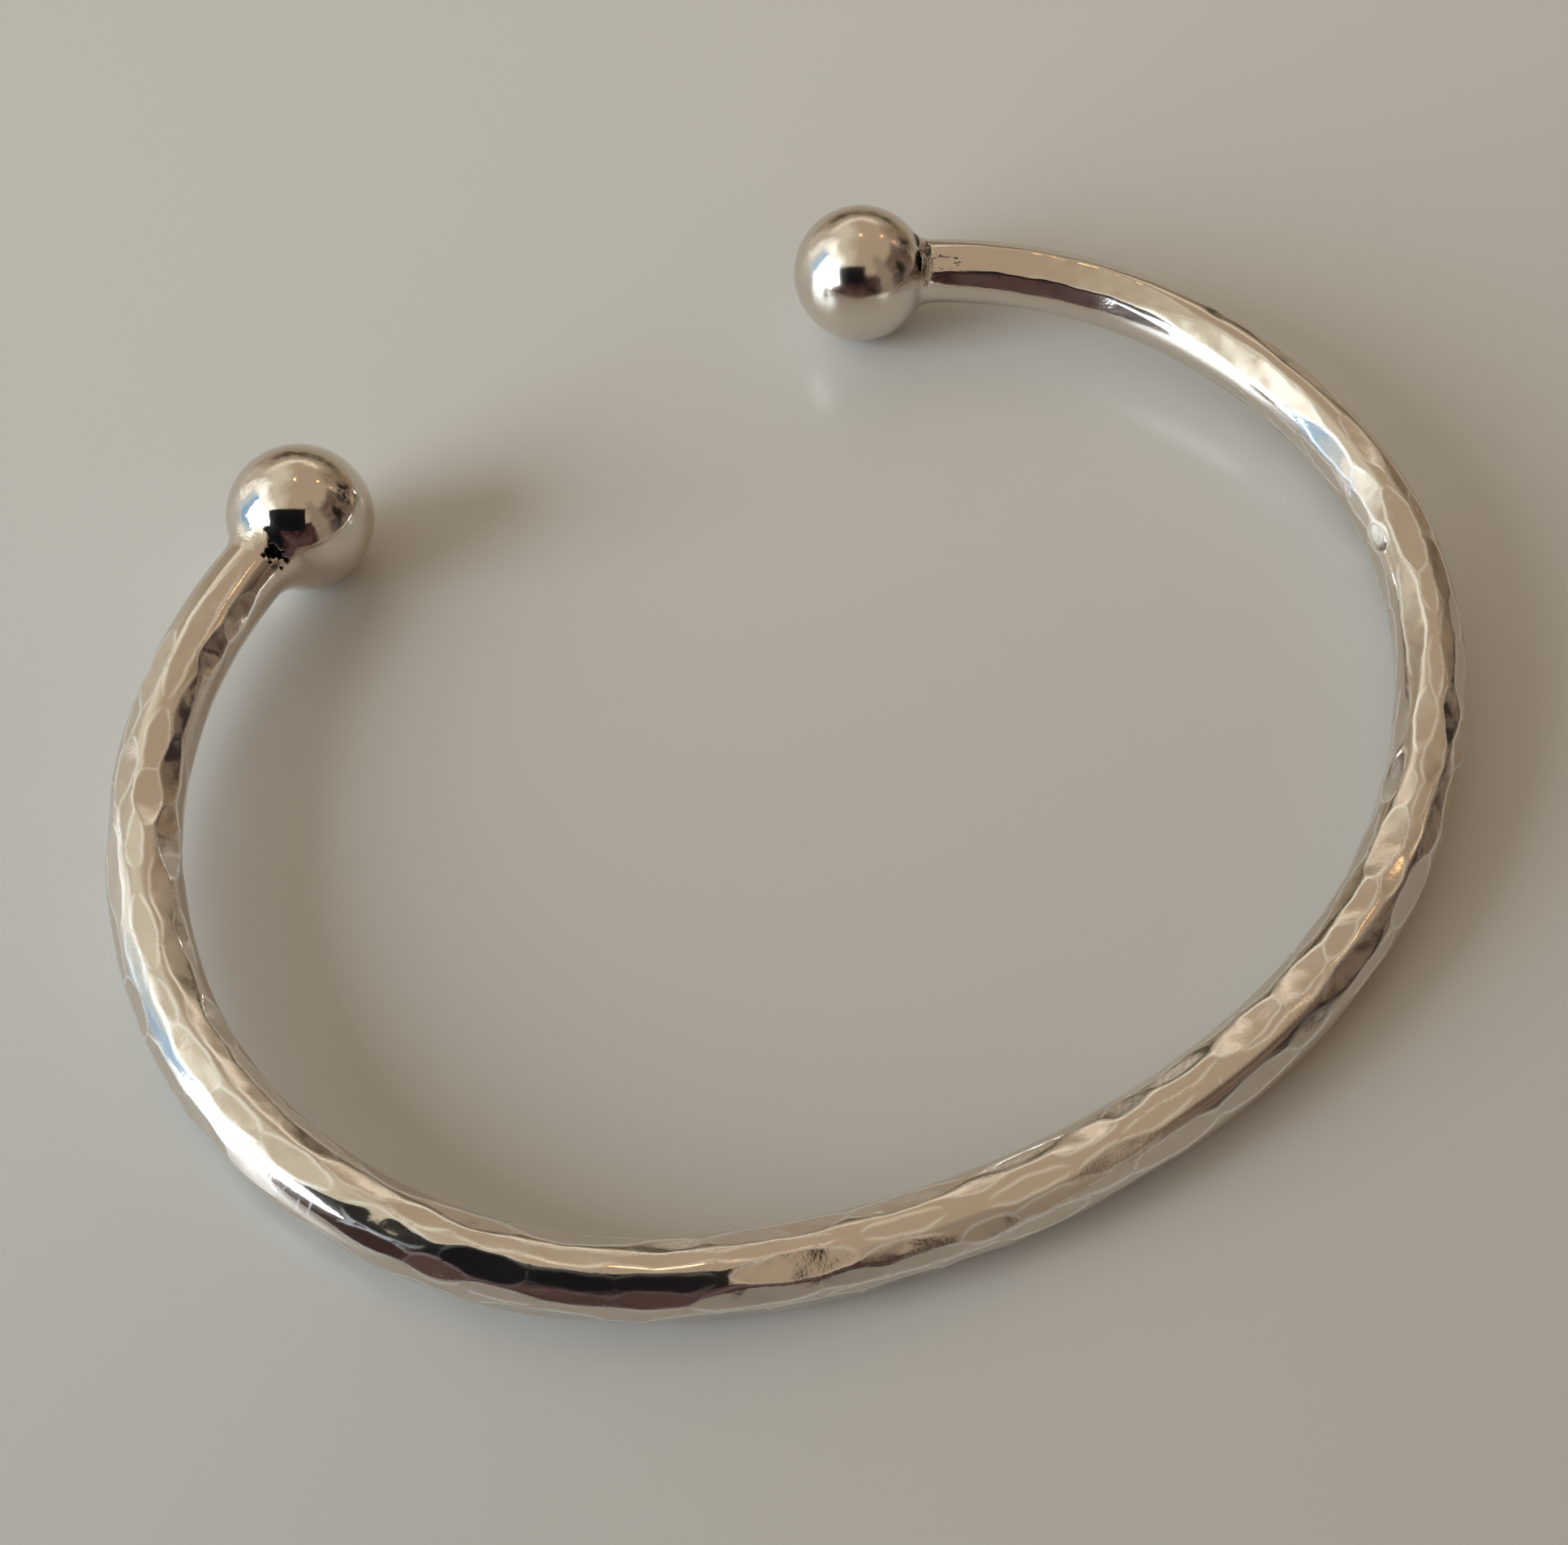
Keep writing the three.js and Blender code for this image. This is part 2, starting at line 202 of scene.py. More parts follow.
def endRadius(way, solder):
    # ball, then the fillet's hollow arc, then the bar, by the way from the ball's centre
    start, end = filletReach(solder)
    ball = np.sqrt(np.maximum(ballRadius ** 2 - way ** 2, 0))
    hollow = np.sqrt(np.maximum(solder ** 2 - (end - way) ** 2, 0))
    return np.where(way < start, ball, np.where(way < end, barRadius + solder - hollow, barRadius))


def scatter(n, salt):
    # repeatable number between -1 and 1: twice the fraction of a long sine wave, less 1
    wave = np.sin(n * 12.9898 + salt * 78.233) * 43758.5453
    return 2 * (wave - np.floor(wave)) - 1


def smoothStep(low, high, value):
    t = np.clip((value - low) / (high - low), 0, 1)
    return t * t * (3 - 2 * t)


def hammerMarks():
    # rows of scattered marks all round the bar, left out where a listed mark lies, and then the listed
    # ones
    perRow = round(cuff["length"] / cuff["markPitch"])
    row, n = np.mgrid[0:cuff["markRows"], 0:perRow]
    number = row * perRow + n
    distance = (n + 0.5 * (row % 2) + 0.5 + 0.34 * scatter(number, 1)) * cuff["length"] / perRow
    angle = (row + 0.5 + 0.26 * scatter(number, 2)) * 360 / cuff["markRows"]
    length = cuff["markLength"] * (1 + 0.35 * scatter(number, 4))
    fromLeft = smoothStep(0, cuff["plainLeft"], distance - filletReach(cuff["solderLeft"])[1])
    toRight = cuff["length"] - distance - filletReach(cuff["solderRight"])[1]
    fromRight = smoothStep(0, cuff["plainRight"], toRight)
    wristSide = smoothStep(0.2, 0.9, -np.cos(np.radians(angle)))
    width = cuff["markWidth"] * (1 + 0.25 * scatter(number, 3)) * fromLeft * fromRight
    width = width * (1 - (1 - cuff["wristSide"]) * wristSide)
    scattered = np.stack([distance, angle, length, width], axis=-1).reshape(-1, 4)
    chosen = np.array([mark for marks in setMarks.values() for mark in marks], dtype=float)
    along = (scattered[:, None, 0] - chosen[None, :, 0]) / (0.5 * chosen[None, :, 2] + 0.9)
    around = (scattered[:, None, 1] - chosen[None, :, 1]) / (0.5 * chosen[None, :, 3] + 14)
    free = (along ** 2 + around ** 2).min(axis=1) > 1
    return np.concatenate([scattered[free & (scattered[:, 3] > 4)], chosen])


def ridgeWearAndSheenLines(gap, distance, angle):
    # a mark meets the next one where the gap between their cuts is 0, and gap / slope is how far
    # away that is
    # the lines found here are painted bright: partly burnished wear, partly a painted highlight of the
    # rounded crests
    alongStep = np.gradient(distance)[:, None]
    aroundStep = barRadius * (angle[1] - angle[0])
    along, around = (
        np.maximum(np.abs(gap - np.roll(gap, 1, axis)), np.abs(gap - np.roll(gap, -1, axis)))
        for axis in (0, 1)
    )
    slope = np.hypot(along / alongStep, around / aroundStep)
    away = gap / np.maximum(slope, 0.001)
    return (1 - smoothStep(0.25, 1, away / cuff["ridgeWearAndSheenWidth"])) * smoothStep(0.05, 0.18, slope)


def markCut(distance, angle):
    # each mark is a flat across the bar: height (r - depth + off^2 / 2h) / cos(turn away), with
    # depth r (1 - cos(width / 2)) and h the radius of its long hollow; a rounded maximum joins the cuts
    soft = cuff["ridge"]
    along, around = distance[:, None], angle[None, :]
    stray = cuff["waver"]
    s = along + stray * np.sin(2.1 * along + 2.0 * around) * np.sin(5.0 * around - 0.7 * along)
    sway = 0.35 * np.sin(1.7 * along + 3.0 * around) + 0.15 * np.sin(4.3 * along - 2.0 * around)
    t = around + stray * sway
    heap = np.ones((len(distance), len(angle)))  # the round bar itself counts as one surface
    first, second = np.zeros_like(heap), np.full_like(heap, -1.0)  # the two deepest cuts at each place
    for at, turn, length, width in hammerMarks():
        near = np.abs(distance - at) < 0.75 * length + 0.5
        across = np.cos(angle - math.radians(turn)) > 0.5
        part = np.ix_(near, across)
        depth = barRadius * (1 - math.cos(math.radians(width / 2)))
        hollow = (length / 2) ** 2 / (2 * depth)
        off = s[part] - at
        flat = (barRadius - depth + off ** 2 / (2 * hollow)) / np.cos(t[part] - math.radians(turn))
        heap[part] += np.exp(np.clip((barRadius - flat) / soft, -60, 60))
        second[part] = np.maximum(second[part], np.minimum(first[part], barRadius - flat))
        first[part] = np.maximum(first[part], barRadius - flat)
    pastLeft = distance - filletReach(cuff["solderLeft"])[1]
    pastRight = cuff["length"] - distance - filletReach(cuff["solderRight"])[1]
    onBar = smoothStep(-0.3, 1.2, pastLeft) * smoothStep(-0.4, 0.8, pastRight)
    cut = soft * np.log(heap) * onBar[:, None]
    hammered = smoothStep(0, 3, pastLeft) * smoothStep(6, cuff["plainRight"], pastRight)
    return cut, ridgeWearAndSheenLines(first - second, distance, angle) * hammered[:, None]


def crumble(along, around):
    # unevenness between about -1 and 1: products of sine waves a few tenths of a millimetre long, added
    bent = np.sin(17.1 * along + 2.3 * np.sin(9.7 * around))
    first = bent * np.sin(15.3 * around + 1.9 * np.sin(11.9 * along))
    second = np.sin(41.7 * along + 1.1 + 13.0 * around) * np.sin(37.9 * around + 0.4 - 9.0 * along)
    return 0.65 * first + 0.35 * second


def solderCut(distance, angle):
    # each flaw is a steep-sided pit exp(-q^3), q the ellipse (along / a)^2 + (around / b)^2,
    # with its rim crumbled
    way = np.minimum(distance, cuff["length"] - distance)
    cut = np.zeros((len(distance), len(angle)))
    black = np.zeros_like(cut)
    rough = crumble(distance[:, None], angle[None, :] * barRadius)
    for side, at, turn, half, wide, depth, dark in solderFlaws:
        place = at if side == "left" else cuff["length"] - at
        turned = (angle - math.radians(turn) + np.pi) % (2 * np.pi) - np.pi
        around = turned * (barRadius + 0.5)
        q = ((distance - place) / half)[:, None] ** 2 + (around / wide)[None, :] ** 2
        q = q * (1 + 0.6 * rough)
        shape = np.exp(-np.clip(q, 0, 4) ** 3)
        cut += depth * shape * (1 + 0.4 * rough)
        if dark > 0:
            black = np.maximum(black, dark * np.exp(-np.clip(0.8 * q, 0, 4) ** 3))
        else:
            black = np.maximum(black, -dark * np.exp(-((q - 1) / 0.18) ** 2))
    seam = np.exp(-((way - 3.8) / 0.7) ** 2)  # solder left a little rough all round each seam
    cut += 0.012 * seam[:, None] * rough
    return cut, black


def rubbedAndSheen(distance, angle):
    # ellipses with soft rims, speckled by the same sine waves as the solder; their paleness is a painted
    # highlight on rough patches
    pale = np.zeros((len(distance), len(angle)))
    speckle = 0.72 + 0.28 * crumble(2 * distance[:, None], 2 * angle[None, :] * barRadius)
    for at, turn, half, wide, strength in rubbedAndSheenSpots:
        along = (distance[:, None] - at) / half
        around = (angle[None, :] - math.radians(turn)) / math.radians(wide)
        pale = np.maximum(pale, strength * (1 - smoothStep(0.6, 1.2, np.hypot(along, around))) * speckle)
    return pale


def stations():
    # even steps of angle over each ball and fillet, even steps of length along the bar
    ends = []
    for solder in (cuff["solderLeft"], cuff["solderRight"]):
        start, end = filletReach(solder)
        seam = math.acos(start / ballRadius)
        ball = ballRadius * np.cos(np.pi + (seam - np.pi) * np.linspace(0, 1, cuff["ballSteps"] + 1))
        fillet = start + (end - start) * np.sin(np.pi / 2 * np.linspace(0, 1, cuff["filletSteps"] + 1))
        ends.append(np.concatenate([ball, fillet[1:]]))
    left, right = ends
    middle = np.linspace(left[-1], cuff["length"] - right[-1], cuff["barSteps"] + 1)[1:-1]
    return np.concatenate([left, middle, (cuff["length"] - right)[::-1]])


def leanOnTable(points):
    # leans the cuff about the line of its balls, until the back of the bar is as low as they are
    _, y, _ = pathPlaces(np.linspace(0, cuff["length"], 401))
    reach = y[0] - y.min()
    lean = math.asin((ballRadius - barRadius + cuff["lean"]) / reach)
    c, s = math.cos(lean), math.sin(lean)
    x, y, z = points[..., 0], points[..., 1], points[..., 2]
    leaned = np.stack([x, y * c - z * s, y * s + z * c + ballRadius - cuff["wear"]], axis=-1)
    leaned[..., 2] = np.maximum(leaned[..., 2], 0)  # the worn flats
    return leaned


def cuffSurface():
    # place = middle of the bar + radius (cos a outward + sin a up), over stations and angles
    distance = stations()
    angle = np.arange(cuff["sides"]) * 2 * np.pi / cuff["sides"]
    inside = np.clip(distance, 0, cuff["length"])
    x, y, heading = pathPlaces(inside)
    x = x + (distance - inside) * np.cos(heading)
    y = y + (distance - inside) * np.sin(heading)
    onLeft = distance < cuff["length"] / 2
    plain = np.where(onLeft, endRadius(distance, cuff["solderLeft"]),
                     endRadius(cuff["length"] - distance, cuff["solderRight"]))
    marks, ridgeWearAndSheen = markCut(distance, angle)
    flaws, black = solderCut(distance, angle)
    onBar = smoothStep(3.6, 5.6, np.minimum(distance, cuff["length"] - distance))[:, None]
    onRightBall = smoothStep(-4.2, -3.4, distance - cuff["length"])[:, None]
    radius = plain[:, None] - marks - flaws * (plain > 0)[:, None]
    outward = radius * np.cos(angle)[None, :]
    points = np.stack([
        x[:, None] + outward * np.sin(heading)[:, None],
        y[:, None] - outward * np.cos(heading)[:, None],
        radius * np.sin(angle)[None, :],
    ], axis=-1)
    everywhere = np.ones_like(marks)
    looks = {
        "blackened": black,
        "ridgeWearAndSheen": ridgeWearAndSheen,
        "rubbedAndSheen": rubbedAndSheen(distance, angle),
        "bar": onBar * everywhere,
        "rightBall": onRightBall * everywhere,
    }
    return leanOnTable(points), looks


def closedTube(name, grid, looks):
    # quads between neighbouring rings, and a fan from each end ring to the point in its middle
    rings, around = grid.shape[:2]
    verts = np.concatenate([grid.reshape(-1, 3), grid[0].mean(axis=0)[None], grid[-1].mean(axis=0)[None]])
    ring = np.arange(rings - 1)[:, None] * around
    here = np.arange(around)[None, :]
    after = (here + 1) % around
    quads = np.stack([ring + here, ring + around + here, ring + around + after, ring + after], axis=-1)
    top = (rings - 1) * around
    startFan = np.stack([np.full_like(here, len(verts) - 2), here, after], axis=-1)
    endFan = np.stack([np.full_like(here, len(verts) - 1), top + after, top + here], axis=-1)
    fans = np.concatenate([startFan.reshape(-1, 3), endFan.reshape(-1, 3)])
    faces = quads.reshape(-1, 4).tolist() + fans.tolist()
    mesh = bpy.data.meshes.new(name)
    mesh.from_pydata((verts * mm).tolist(), [], faces)
    mesh.polygons.foreach_set("use_smooth", np.ones(len(faces), dtype=bool))
    ends = np.empty(2 * len(mesh.edges), dtype=np.int32)
    mesh.edges.foreach_get("vertices", ends)
    ends = ends.reshape(-1, 2)
    rim = np.zeros(len(ends), dtype=bool)  # a cut across the bar has a sharp rim
    for first, edgeRing in ((0, grid[0]), (top, grid[-1])):
        if np.ptp(edgeRing, axis=0).max() > 1:
            rim |= ((ends >= first) & (ends < first + around)).all(axis=1)
    mesh.edges.foreach_set("use_edge_sharp", rim)
    for look, values in looks.items():
        attribute = mesh.attributes.new(look, "FLOAT", "POINT")
        attribute.data.foreach_set("value", np.concatenate([values.ravel(), [0, 0]]).astype(np.float32))
    mesh.update()
    piece = bpy.data.objects.new(name, mesh)
    bpy.context.scene.collection.objects.link(piece)
    return piece


def centreOn(grid, low, high):
    # puts the grid's outline where the solid's outline is
    shift = np.array([(low[k] + high[k]) / 2 / mm for k in range(2)])
    middle = (grid.reshape(-1, 3).min(axis=0) + grid.reshape(-1, 3).max(axis=0))[:2] / 2
    grid[..., :2] += shift - middle
    return grid


grid, looks = cuffSurface()
low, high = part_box("cuff")
grid = centreOn(grid, low, high)
cuts = np.linspace(1, len(grid) - 2, cuff["pieces"] + 1).astype(int)  # without the two poles
silverPieces = []
for number, (first, last) in enumerate(zip(cuts[:-1], cuts[1:])):
    part = slice(first, last + 1)
    partLooks = {look: values[part] for look, values in looks.items()}
    silverPieces.append(closedTube(f"silverCuff{number}", grid[part], partLooks))
print("cuff surface", sum(len(piece.data.polygons) for piece in silverPieces), "faces")


# SILVER
def newMaterial(name):
    material = bpy.data.materials.new(name)
    material.use_nodes = True
    nodes = material.node_tree.nodes
    nodes.clear()
    return material, nodes, material.node_tree.links


silverLook = {
    "color": (0.73, 0.65, 0.57),  # a little tarnished
    "ridgeWearAndSheenColor": (0.99, 0.97, 0.94),  # burnished bright by wear, and a painted highlight where the rounded crests catch the light
    "oxide": (0.012, 0.010, 0.009),
    "roughness": (0.05, 0.13),  # mirror patches and duller ones
    "rightBall": 0.07,  # its polish is duller by this
    "grain": 5200,  # per metre, the fine pitting
    "patch": 420,  # per metre, where the pitting is stronger
    "swell": 900,  # per metre, slow unevenness of the polish
    "grainHeight": 0.000006,  # metres
    "swellHeight": 0.000005,
    "soot": 4200,  # per metre, how finely the blackened solder breaks up
    "satin": 0.32,  # roughness of the share of light that fine wear scatters
    "rubbedAndSheen": (0.7, 0.85),  # roughness and share of the satin where it is rubbed
    "satinShare": (0.03, 0.10, 0.45),  # of the balls, the bar and its ridges
}


def silverMaterial():
    material, nodes, links = newMaterial("polishedSilver")

    def noise(scale, detail, distortion=0.0):
        node = nodes.new("ShaderNodeTexNoise")
        node.inputs["Scale"].default_value = scale
        node.inputs["Detail"].default_value = detail
        node.inputs["Distortion"].default_value = distortion
        links.new(place.outputs["Object"], node.inputs["Vector"])
        return node.outputs["Fac"]

    def spread(value, fromLow, fromHigh, toLow, toHigh):
        node = nodes.new("ShaderNodeMapRange")
        sockets = ("From Min", "From Max", "To Min", "To Max")
        for socket, number in zip(sockets, (fromLow, fromHigh, toLow, toHigh)):
            node.inputs[socket].default_value = number
        links.new(value, node.inputs["Value"])
        return node.outputs["Result"]

    def math2(operation, first, second):
        node = nodes.new("ShaderNodeMath")
        node.operation = operation
        links.new(first, node.inputs[0])
        links.new(second, node.inputs[1])
        return node.outputs[0]

    def bump(height, distance, under=None):
        node = nodes.new("ShaderNodeBump")
        node.inputs["Strength"].default_value = 1
        node.inputs["Distance"].default_value = distance
        links.new(height, node.inputs["Height"])
        if under:
            links.new(under, node.inputs["Normal"])
        return node.outputs["Normal"]

    out = nodes.new("ShaderNodeOutputMaterial")
    shader = nodes.new("ShaderNodeBsdfPrincipled")
    shader.inputs["Metallic"].default_value = 1
    place = nodes.new("ShaderNodeTexCoord")
    soot = nodes.new("ShaderNodeAttribute")
    soot.attribute_name = "blackened"
    ridgeWearAndSheen = nodes.new("ShaderNodeAttribute")
    ridgeWearAndSheen.attribute_name = "ridgeWearAndSheen"
    rubbedAndSheenSpot = nodes.new("ShaderNodeAttribute")
    rubbedAndSheenSpot.attribute_name = "rubbedAndSheen"
    brokenUp = spread(noise(silverLook["soot"], 3), 0.35, 0.5, 0.55, 1.3)
    sooty = math2("MULTIPLY", soot.outputs["Fac"], brokenUp)
    sooty = spread(sooty, 0.12, 0.5, 0, 1)

    # crests and rubbed spots are painted pale here: partly wear, partly a painted highlight
    wearAndSheenMix = nodes.new("ShaderNodeMix")
    wearAndSheenMix.data_type = "RGBA"
    wearAndSheenMix.inputs["A"].default_value = (*silverLook["color"], 1)
    wearAndSheenMix.inputs["B"].default_value = (*silverLook["ridgeWearAndSheenColor"], 1)
    links.new(math2("MAXIMUM", ridgeWearAndSheen.outputs["Fac"], rubbedAndSheenSpot.outputs["Fac"]), wearAndSheenMix.inputs["Factor"])
    tint = nodes.new("ShaderNodeMix")
    tint.data_type = "RGBA"
    tint.inputs["B"].default_value = (*silverLook["oxide"], 1)
    links.new(sooty, tint.inputs["Factor"])
    links.new(wearAndSheenMix.outputs["Result"], tint.inputs["A"])
    links.new(tint.outputs["Result"], shader.inputs["Base Color"])

    patch = spread(noise(silverLook["patch"], 2), 0.50, 0.68, 0, 1)
    grain = noise(silverLook["grain"], 5, 0.3)
    dull = spread(patch, 0, 1, *silverLook["roughness"])
    rightBall = nodes.new("ShaderNodeAttribute")
    rightBall.attribute_name = "rightBall"
    duller = math2("ADD", dull, spread(rightBall.outputs["Fac"], 0, 1, 0, silverLook["rightBall"]))
    rougher = math2("ADD", duller, spread(sooty, 0, 1, 0, 0.4))
    links.new(rougher, shader.inputs["Roughness"])

    patchGrain = math2("MULTIPLY", grain, spread(patch, 0, 1, 0.35, 1.6))
    fine = bump(patchGrain, silverLook["grainHeight"])
    slow = bump(noise(silverLook["swell"], 2), silverLook["swellHeight"], fine)
    links.new(slow, shader.inputs["Normal"])

    satin = nodes.new("ShaderNodeBsdfPrincipled")
    satin.inputs["Metallic"].default_value = 1
    matte, matteShare = silverLook["rubbedAndSheen"]
    satinRoughness = spread(rubbedAndSheenSpot.outputs["Fac"], 0, 1, silverLook["satin"], matte)
    links.new(satinRoughness, satin.inputs["Roughness"])
    links.new(tint.outputs["Result"], satin.inputs["Base Color"])
    onBall, onBar, onRidge = silverLook["satinShare"]
    bar = nodes.new("ShaderNodeAttribute")
    bar.attribute_name = "bar"
    share = math2("ADD", spread(bar.outputs["Fac"], 0, 1, onBall, onBar),
                  spread(ridgeWearAndSheen.outputs["Fac"], 0, 1, 0, onRidge - onBar))
    allShare = math2("MAXIMUM", share, spread(rubbedAndSheenSpot.outputs["Fac"], 0, 1, 0, matteShare))
    both = nodes.new("ShaderNodeMixShader")
    links.new(allShare, both.inputs["Fac"])
    links.new(shader.outputs["BSDF"], both.inputs[1])
    links.new(satin.outputs["BSDF"], both.inputs[2])
    links.new(both.outputs["Shader"], out.inputs["Surface"])
    return material


polishedSilver = silverMaterial()
for piece in silverPieces:
    piece.data.materials.append(polishedSilver)
    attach(piece, "root")
    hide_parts("cuff")
print("silver done")


# TABLE
table = {
    "size": 3.0,
    "color": (0.60, 0.572, 0.525),
    "roughness": 0.32,
}


def flatSheet(name, corners):
    mesh = bpy.data.meshes.new(name)
    mesh.from_pydata([tuple(corner) for corner in corners], [], [(0, 1, 2, 3)])
    mesh.update()
    sheet = bpy.data.objects.new(name, mesh)
    bpy.context.scene.collection.objects.link(sheet)
    return sheet


def tableMaterial():
    material, nodes, links = newMaterial("paleTable")
    out = nodes.new("ShaderNodeOutputMaterial")
    shader = nodes.new("ShaderNodeBsdfPrincipled")
    shader.inputs["Base Color"].default_value = (*table["color"], 1)
    shader.inputs["Roughness"].default_value = table["roughness"]
    links.new(shader.outputs["BSDF"], out.inputs["Surface"])
    return material


half = table["size"] / 2
tableCorners = [(-half, -half, 0), (half, -half, 0), (half, half, 0), (-half, half, 0)]
paleTable = flatSheet("paleTable", tableCorners)
paleTable.data.materials.append(tableMaterial())


# CAMERA
view = {
    "azimuth": -33.31,
    "elevation": 51.27,
    "roll": -0.17,
    "aim": (-3.835, -2.523, 2.766),  # millimetres
    "distance": 121.13,
    "lens": 54.97,
}


def cameraAxes():
    azimuth, elevation, roll = (math.radians(view[key]) for key in ("azimuth", "elevation", "roll"))
    back = Vector((
        math.sin(azimuth) * math.cos(elevation),
        -math.cos(azimuth) * math.cos(elevation),
        math.sin(elevation),
    ))
    level = Vector((math.cos(azimuth), math.sin(azimuth), 0))
    upright = back.cross(level)
    right = level * math.cos(roll) + upright * math.sin(roll)
    return right, back.cross(right), back


right, up, back = cameraAxes()
eye = Vector(view["aim"]) * mm + back * view["distance"] * mm
cameraData = bpy.data.cameras.new("camera")
cameraData.sensor_width = 36
cameraData.lens = view["lens"]
cameraData.clip_start = 0.005
cameraData.clip_end = 20
camera = bpy.data.objects.new("camera", cameraData)
camera.matrix_world = Matrix.Translation(eye) @ Matrix((right, up, back)).transposed().to_4x4()
bpy.context.scene.collection.objects.link(camera)
bpy.context.scene.camera = camera
print("camera set")


# STUDIO LIGHT
# turns are level angles in degrees as seen over the camera: 0 straight ahead, 90 right, -90 left
ahead = Vector((-back.x, -back.y, 0)).normalized()
rightward = Vector((right.x, right.y, 0)).normalized()
skyward = Vector((0, 0, 1))


def polar(turn, distance, height=0.0):
    angle = math.radians(turn)
    level = ahead * (math.cos(angle) * distance) + rightward * (math.sin(angle) * distance)
    return level + skyward * height


def glowing(name, color, strength, darker=None, scale=10):
    # a card's own light, mottled towards a darker colour where one is given
    material, nodes, links = newMaterial(name)
    out = nodes.new("ShaderNodeOutputMaterial")
    glow = nodes.new("ShaderNodeEmission")
    glow.inputs["Color"].default_value = (*color, 1)
    glow.inputs["Strength"].default_value = strength
    if darker:
        place = nodes.new("ShaderNodeTexCoord")
        mottle = nodes.new("ShaderNodeTexNoise")
        mottle.inputs["Scale"].default_value = scale
        links.new(place.outputs["Object"], mottle.inputs["Vector"])
        ramp = nodes.new("ShaderNodeValToRGB")
        ramp.color_ramp.elements[0].position, ramp.color_ramp.elements[1].position = 0.42, 0.56
        ramp.color_ramp.elements[0].color, ramp.color_ramp.elements[1].color = (*color, 1), (*darker, 1)
        links.new(mottle.outputs["Fac"], ramp.inputs["Fac"])
        links.new(ramp.outputs["Color"], glow.inputs["Color"])
    links.new(glow.outputs["Emission"], out.inputs["Surface"])
    return material


def card(name, corners, material, shades=False):
    # a board that only reflections see; one that shades also blocks light
    board = flatSheet(name, corners)
    board.data.materials.append(material)
    board.visible_camera = False
    board.visible_shadow = shades
    board.visible_diffuse = shades


def uprightCard(name, fromTurn, toTurn, distance, low, high, material, shades=False):
    corners = [polar(fromTurn, distance, low), polar(toTurn, distance, low),
               polar(toTurn, distance, high), polar(fromTurn, distance, high)]
    card(name, corners, material, shades)


# the black board round the lens, and dark cloth under it
lensBoard = {"width": 0.152, "height": 0.085, "aside": -0.056, "above": -0.013, "behind": 0.006}
middle = eye + right * lensBoard["aside"] + up * lensBoard["above"] + back * lensBoard["behind"]
a, b = right * (lensBoard["width"] / 2), up * (lensBoard["height"] / 2)
card("lensBoard", [middle - a - b, middle + a - b, middle + a + b, middle - a + b],
     glowing("blackBoard", (0.006, 0.007, 0.009), 1), shades=True)
uprightCard("darkCloth", 152, 212, 0.42, 0.0, 0.27,
            glowing("darkCloth", (0.075, 0.034, 0.030), 1, (0.020, 0.012, 0.012), 14), shades=True)
sleeve = {"behind": -0.078, "left": -0.135, "right": 0.018, "height": 0.036}
base = ahead * sleeve["behind"]
leftEnd, rightEnd = base + rightward * sleeve["left"], base + rightward * sleeve["right"]
rise = skyward * sleeve["height"]
card("darkSleeve", [leftEnd, rightEnd, rightEnd + rise, leftEnd + rise],
     glowing("darkSleeve", (0.10, 0.062, 0.060), 1, (0.040, 0.020, 0.017), 40))

room = {
    "ceiling": (0.44, 0.36, 0.27),
    # what the room gives the table apart from the windows, from the left and from the right
    "softLight": ((0.62, 0.60, 0.54), (0.39, 0.28, 0.17)),
    "brightness": 1.1,
    # patches of the room, later ones over earlier ones: the turns and elevations that each spans,
    # in degrees, the softness of its edge, the share of it that is mottled away, and its colour
    "patches": [
        ("bright ceiling", (-155, -15), (22, 74), 16, 0.2, (0.70, 0.68, 0.56)),
        ("over the windows", (-135, -64), (31, 52), 6, 0.3, (1.50, 1.55, 1.50)),
        ("wall ahead", (-62, 46), (-9, 33), 5, 0.3, (0.34, 0.29, 0.22)),
        ("pale wall", (-64, -40), (-9, 45), 5, 0.3, (0.56, 0.53, 0.45)),
        ("light moulding", (-46, 26), (34, 42), 4, 0.5, (0.92, 0.84, 0.70)),
        ("shelf ahead", (-28, 50), (10, 24), 4, 0.4, (0.08, 0.07, 0.045)),
        ("brown wall", (36, 62), (-9, 46), 8, 0.3, (0.24, 0.18, 0.12)),
        ("dark arch", (72, 124), (-9, 44), 4, 0.2, (0.12, 0.088, 0.068)),
        ("low clutter", (100, 150), (-9, 15), 3, 0.5, (0.06, 0.052, 0.045)),
        ("doorway", (92, 104), (8, 28), 3, 0.1, (0.012, 0.010, 0.009)),
        ("dark things", (50, 78), (7, 28), 4, 0.5, (0.025, 0.018, 0.020)),
        ("light gap", (122, 146), (-9, 60), 6, 0.2, (0.27, 0.23, 0.18)),
        ("behind, right", (146, 190), (-9, 34), 4, 0.2, (0.03, 0.02, 0.018)),
        ("behind, left", (-190, -142), (-9, 30), 3, 0.2, (0.05, 0.025, 0.022)),
        ("curtain", (-78, -58), (0, 42), 4, 0.5, (1.10, 1.12, 1.08)),
        ("pale window edge", (-87, -76), (-3, 36), 4, 0.2, (0.60, 0.75, 0.85)),
        ("blue window", (-96, -84), (-3, 38), 4, 0.2, (0.26, 0.50, 0.80)),
        ("white window", (-138, -95), (-3, 35), 3.5, 0.1, (8.8, 10.2, 11.5)),
        ("first lamp", (-7, 1), (72, 74), 1.8, 0, (7.0, 4.2, 1.8)),
        ("second lamp", (52, 55), (52, 54), 1.8, 0, (7.0, 4.2, 1.8)),
        ("third lamp", (63, 65), (35.5, 36.5), 1.8, 0, (7.0, 4.2, 1.8)),
    ],
}


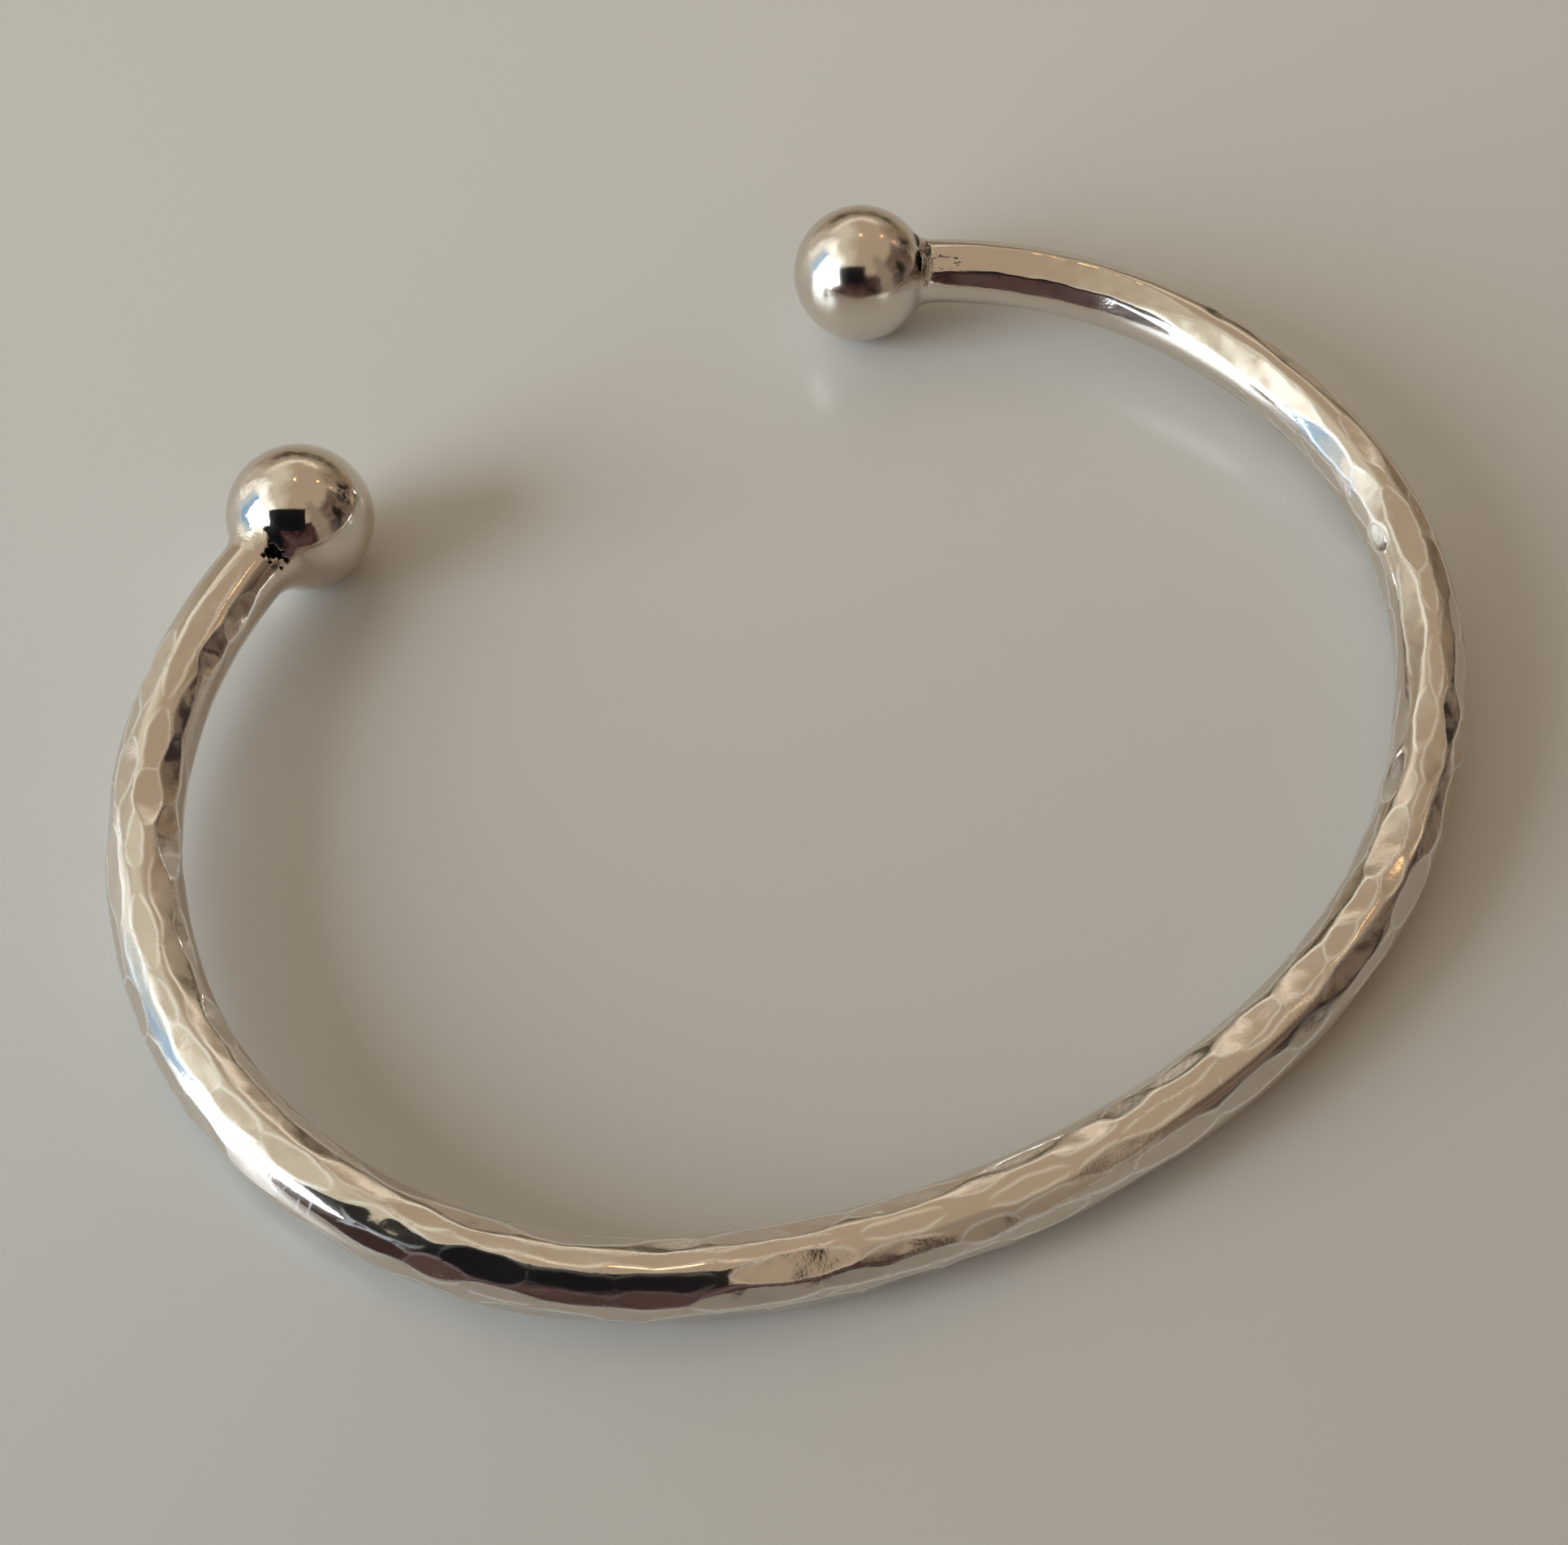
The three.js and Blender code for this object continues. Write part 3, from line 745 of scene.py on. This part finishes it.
def windowLight():
    # lights the table from where the white window is; mirrors see the painted window instead
    window = {"turn": -118, "wide": 40, "low": -3, "high": 36, "distance": 1.5, "radiance": 10.0}
    far = window["distance"]
    bottom, top = (far * math.tan(math.radians(window[key])) for key in ("low", "high"))
    width = 2 * far * math.tan(math.radians(window["wide"] / 2))
    lampData = bpy.data.lights.new("windowLight", "AREA")
    lampData.shape = "RECTANGLE"
    lampData.size, lampData.size_y = width, top - bottom
    lampData.color = (0.86, 1.0, 1.13)
    lampData.energy = window["radiance"] * math.pi * width * (top - bottom)
    lamp = bpy.data.objects.new("windowLight", lampData)
    lamp.location = polar(window["turn"], far, (bottom + top) / 2)
    lamp.rotation_euler = polar(window["turn"], -1).to_track_quat("-Z", "Y").to_euler()
    lamp.visible_glossy = False
    lamp.visible_camera = False
    bpy.context.scene.collection.objects.link(lamp)


def studioWorld():
    # the room round the table, painted by direction: turn = atan2(right, ahead), elevation = asin(up)
    world = bpy.data.worlds.new("warmRoom")
    world.use_nodes = True
    nodes, links = world.node_tree.nodes, world.node_tree.links
    nodes.clear()

    def calculate(operation, *terms):
        node = nodes.new("ShaderNodeMath")
        node.operation = operation
        for socket, term in zip(node.inputs, terms):
            if isinstance(term, (int, float)):
                socket.default_value = term
            else:
                links.new(term, socket)
        return node.outputs[0]

    def soft(value, middle, edge):
        node = nodes.new("ShaderNodeMapRange")
        node.interpolation_type = "SMOOTHSTEP"
        node.inputs["From Min"].default_value = middle - edge
        node.inputs["From Max"].default_value = middle + edge
        links.new(value, node.inputs["Value"])
        return node.outputs["Result"]

    def between(value, span, edge):
        past = calculate("SUBTRACT", 1, soft(value, span[1], edge))
        return calculate("MULTIPLY", soft(value, span[0], edge), past)

    def clouds(scale, detail):
        node = nodes.new("ShaderNodeTexNoise")
        node.inputs["Scale"].default_value = scale
        node.inputs["Detail"].default_value = detail
        links.new(turned.outputs["Vector"], node.inputs["Vector"])
        return node.outputs["Fac"]

    out = nodes.new("ShaderNodeOutputWorld")
    glow = nodes.new("ShaderNodeBackground")
    plain = nodes.new("ShaderNodeBackground")
    side = nodes.new("ShaderNodeMix")
    side.data_type = "RGBA"
    fromLeft, fromRight = room["softLight"]
    side.inputs["A"].default_value = (*fromLeft, 1)
    side.inputs["B"].default_value = (*fromRight, 1)
    links.new(side.outputs["Result"], plain.inputs["Color"])
    choose = nodes.new("ShaderNodeMixShader")
    ray = nodes.new("ShaderNodeLightPath")
    place = nodes.new("ShaderNodeTexCoord")
    turned = nodes.new("ShaderNodeMapping")
    turned.inputs["Rotation"].default_value = (0, 0, -math.radians(view["azimuth"]))
    links.new(place.outputs["Generated"], turned.inputs["Vector"])
    split = nodes.new("ShaderNodeSeparateXYZ")
    links.new(turned.outputs["Vector"], split.inputs["Vector"])
    links.new(soft(split.outputs["X"], 0, 1), side.inputs["Factor"])
    stray = calculate("MULTIPLY", calculate("SUBTRACT", clouds(6, 4), 0.5), 16)
    turn = calculate("DEGREES", calculate("ARCTAN2", split.outputs["X"], split.outputs["Y"]))
    turn = calculate("ADD", turn, stray)
    elevation = calculate("DEGREES", calculate("ARCSINE", split.outputs["Z"]))
    elevation = calculate("ADD", elevation, calculate("MULTIPLY", stray, 0.6))
    mottle = soft(clouds(9, 3), 0.5, 0.07)

    light = room["ceiling"]
    for _, turns, elevations, edge, share, color in room["patches"]:
        mask = calculate("MULTIPLY", between(turn, turns, edge), between(elevation, elevations, edge))
        mask = calculate("MULTIPLY", mask, calculate("SUBTRACT", 1, calculate("MULTIPLY", mottle, share)))
        mix = nodes.new("ShaderNodeMix")
        mix.data_type = "RGBA"
        mix.inputs["B"].default_value = (*color, 1)
        if isinstance(light, tuple):
            mix.inputs["A"].default_value = (*light, 1)
        else:
            links.new(light, mix.inputs["A"])
        links.new(mask, mix.inputs["Factor"])
        light = mix.outputs["Result"]
    links.new(light, glow.inputs["Color"])
    glow.inputs["Strength"].default_value = room["brightness"]
    links.new(ray.outputs["Is Glossy Ray"], choose.inputs["Fac"])
    links.new(plain.outputs["Background"], choose.inputs[1])
    links.new(glow.outputs["Background"], choose.inputs[2])
    links.new(choose.outputs["Shader"], out.inputs["Surface"])
    bpy.context.scene.world = world


windowLight()
studioWorld()
bpy.context.scene.view_settings.view_transform = "Standard"
print("light set")
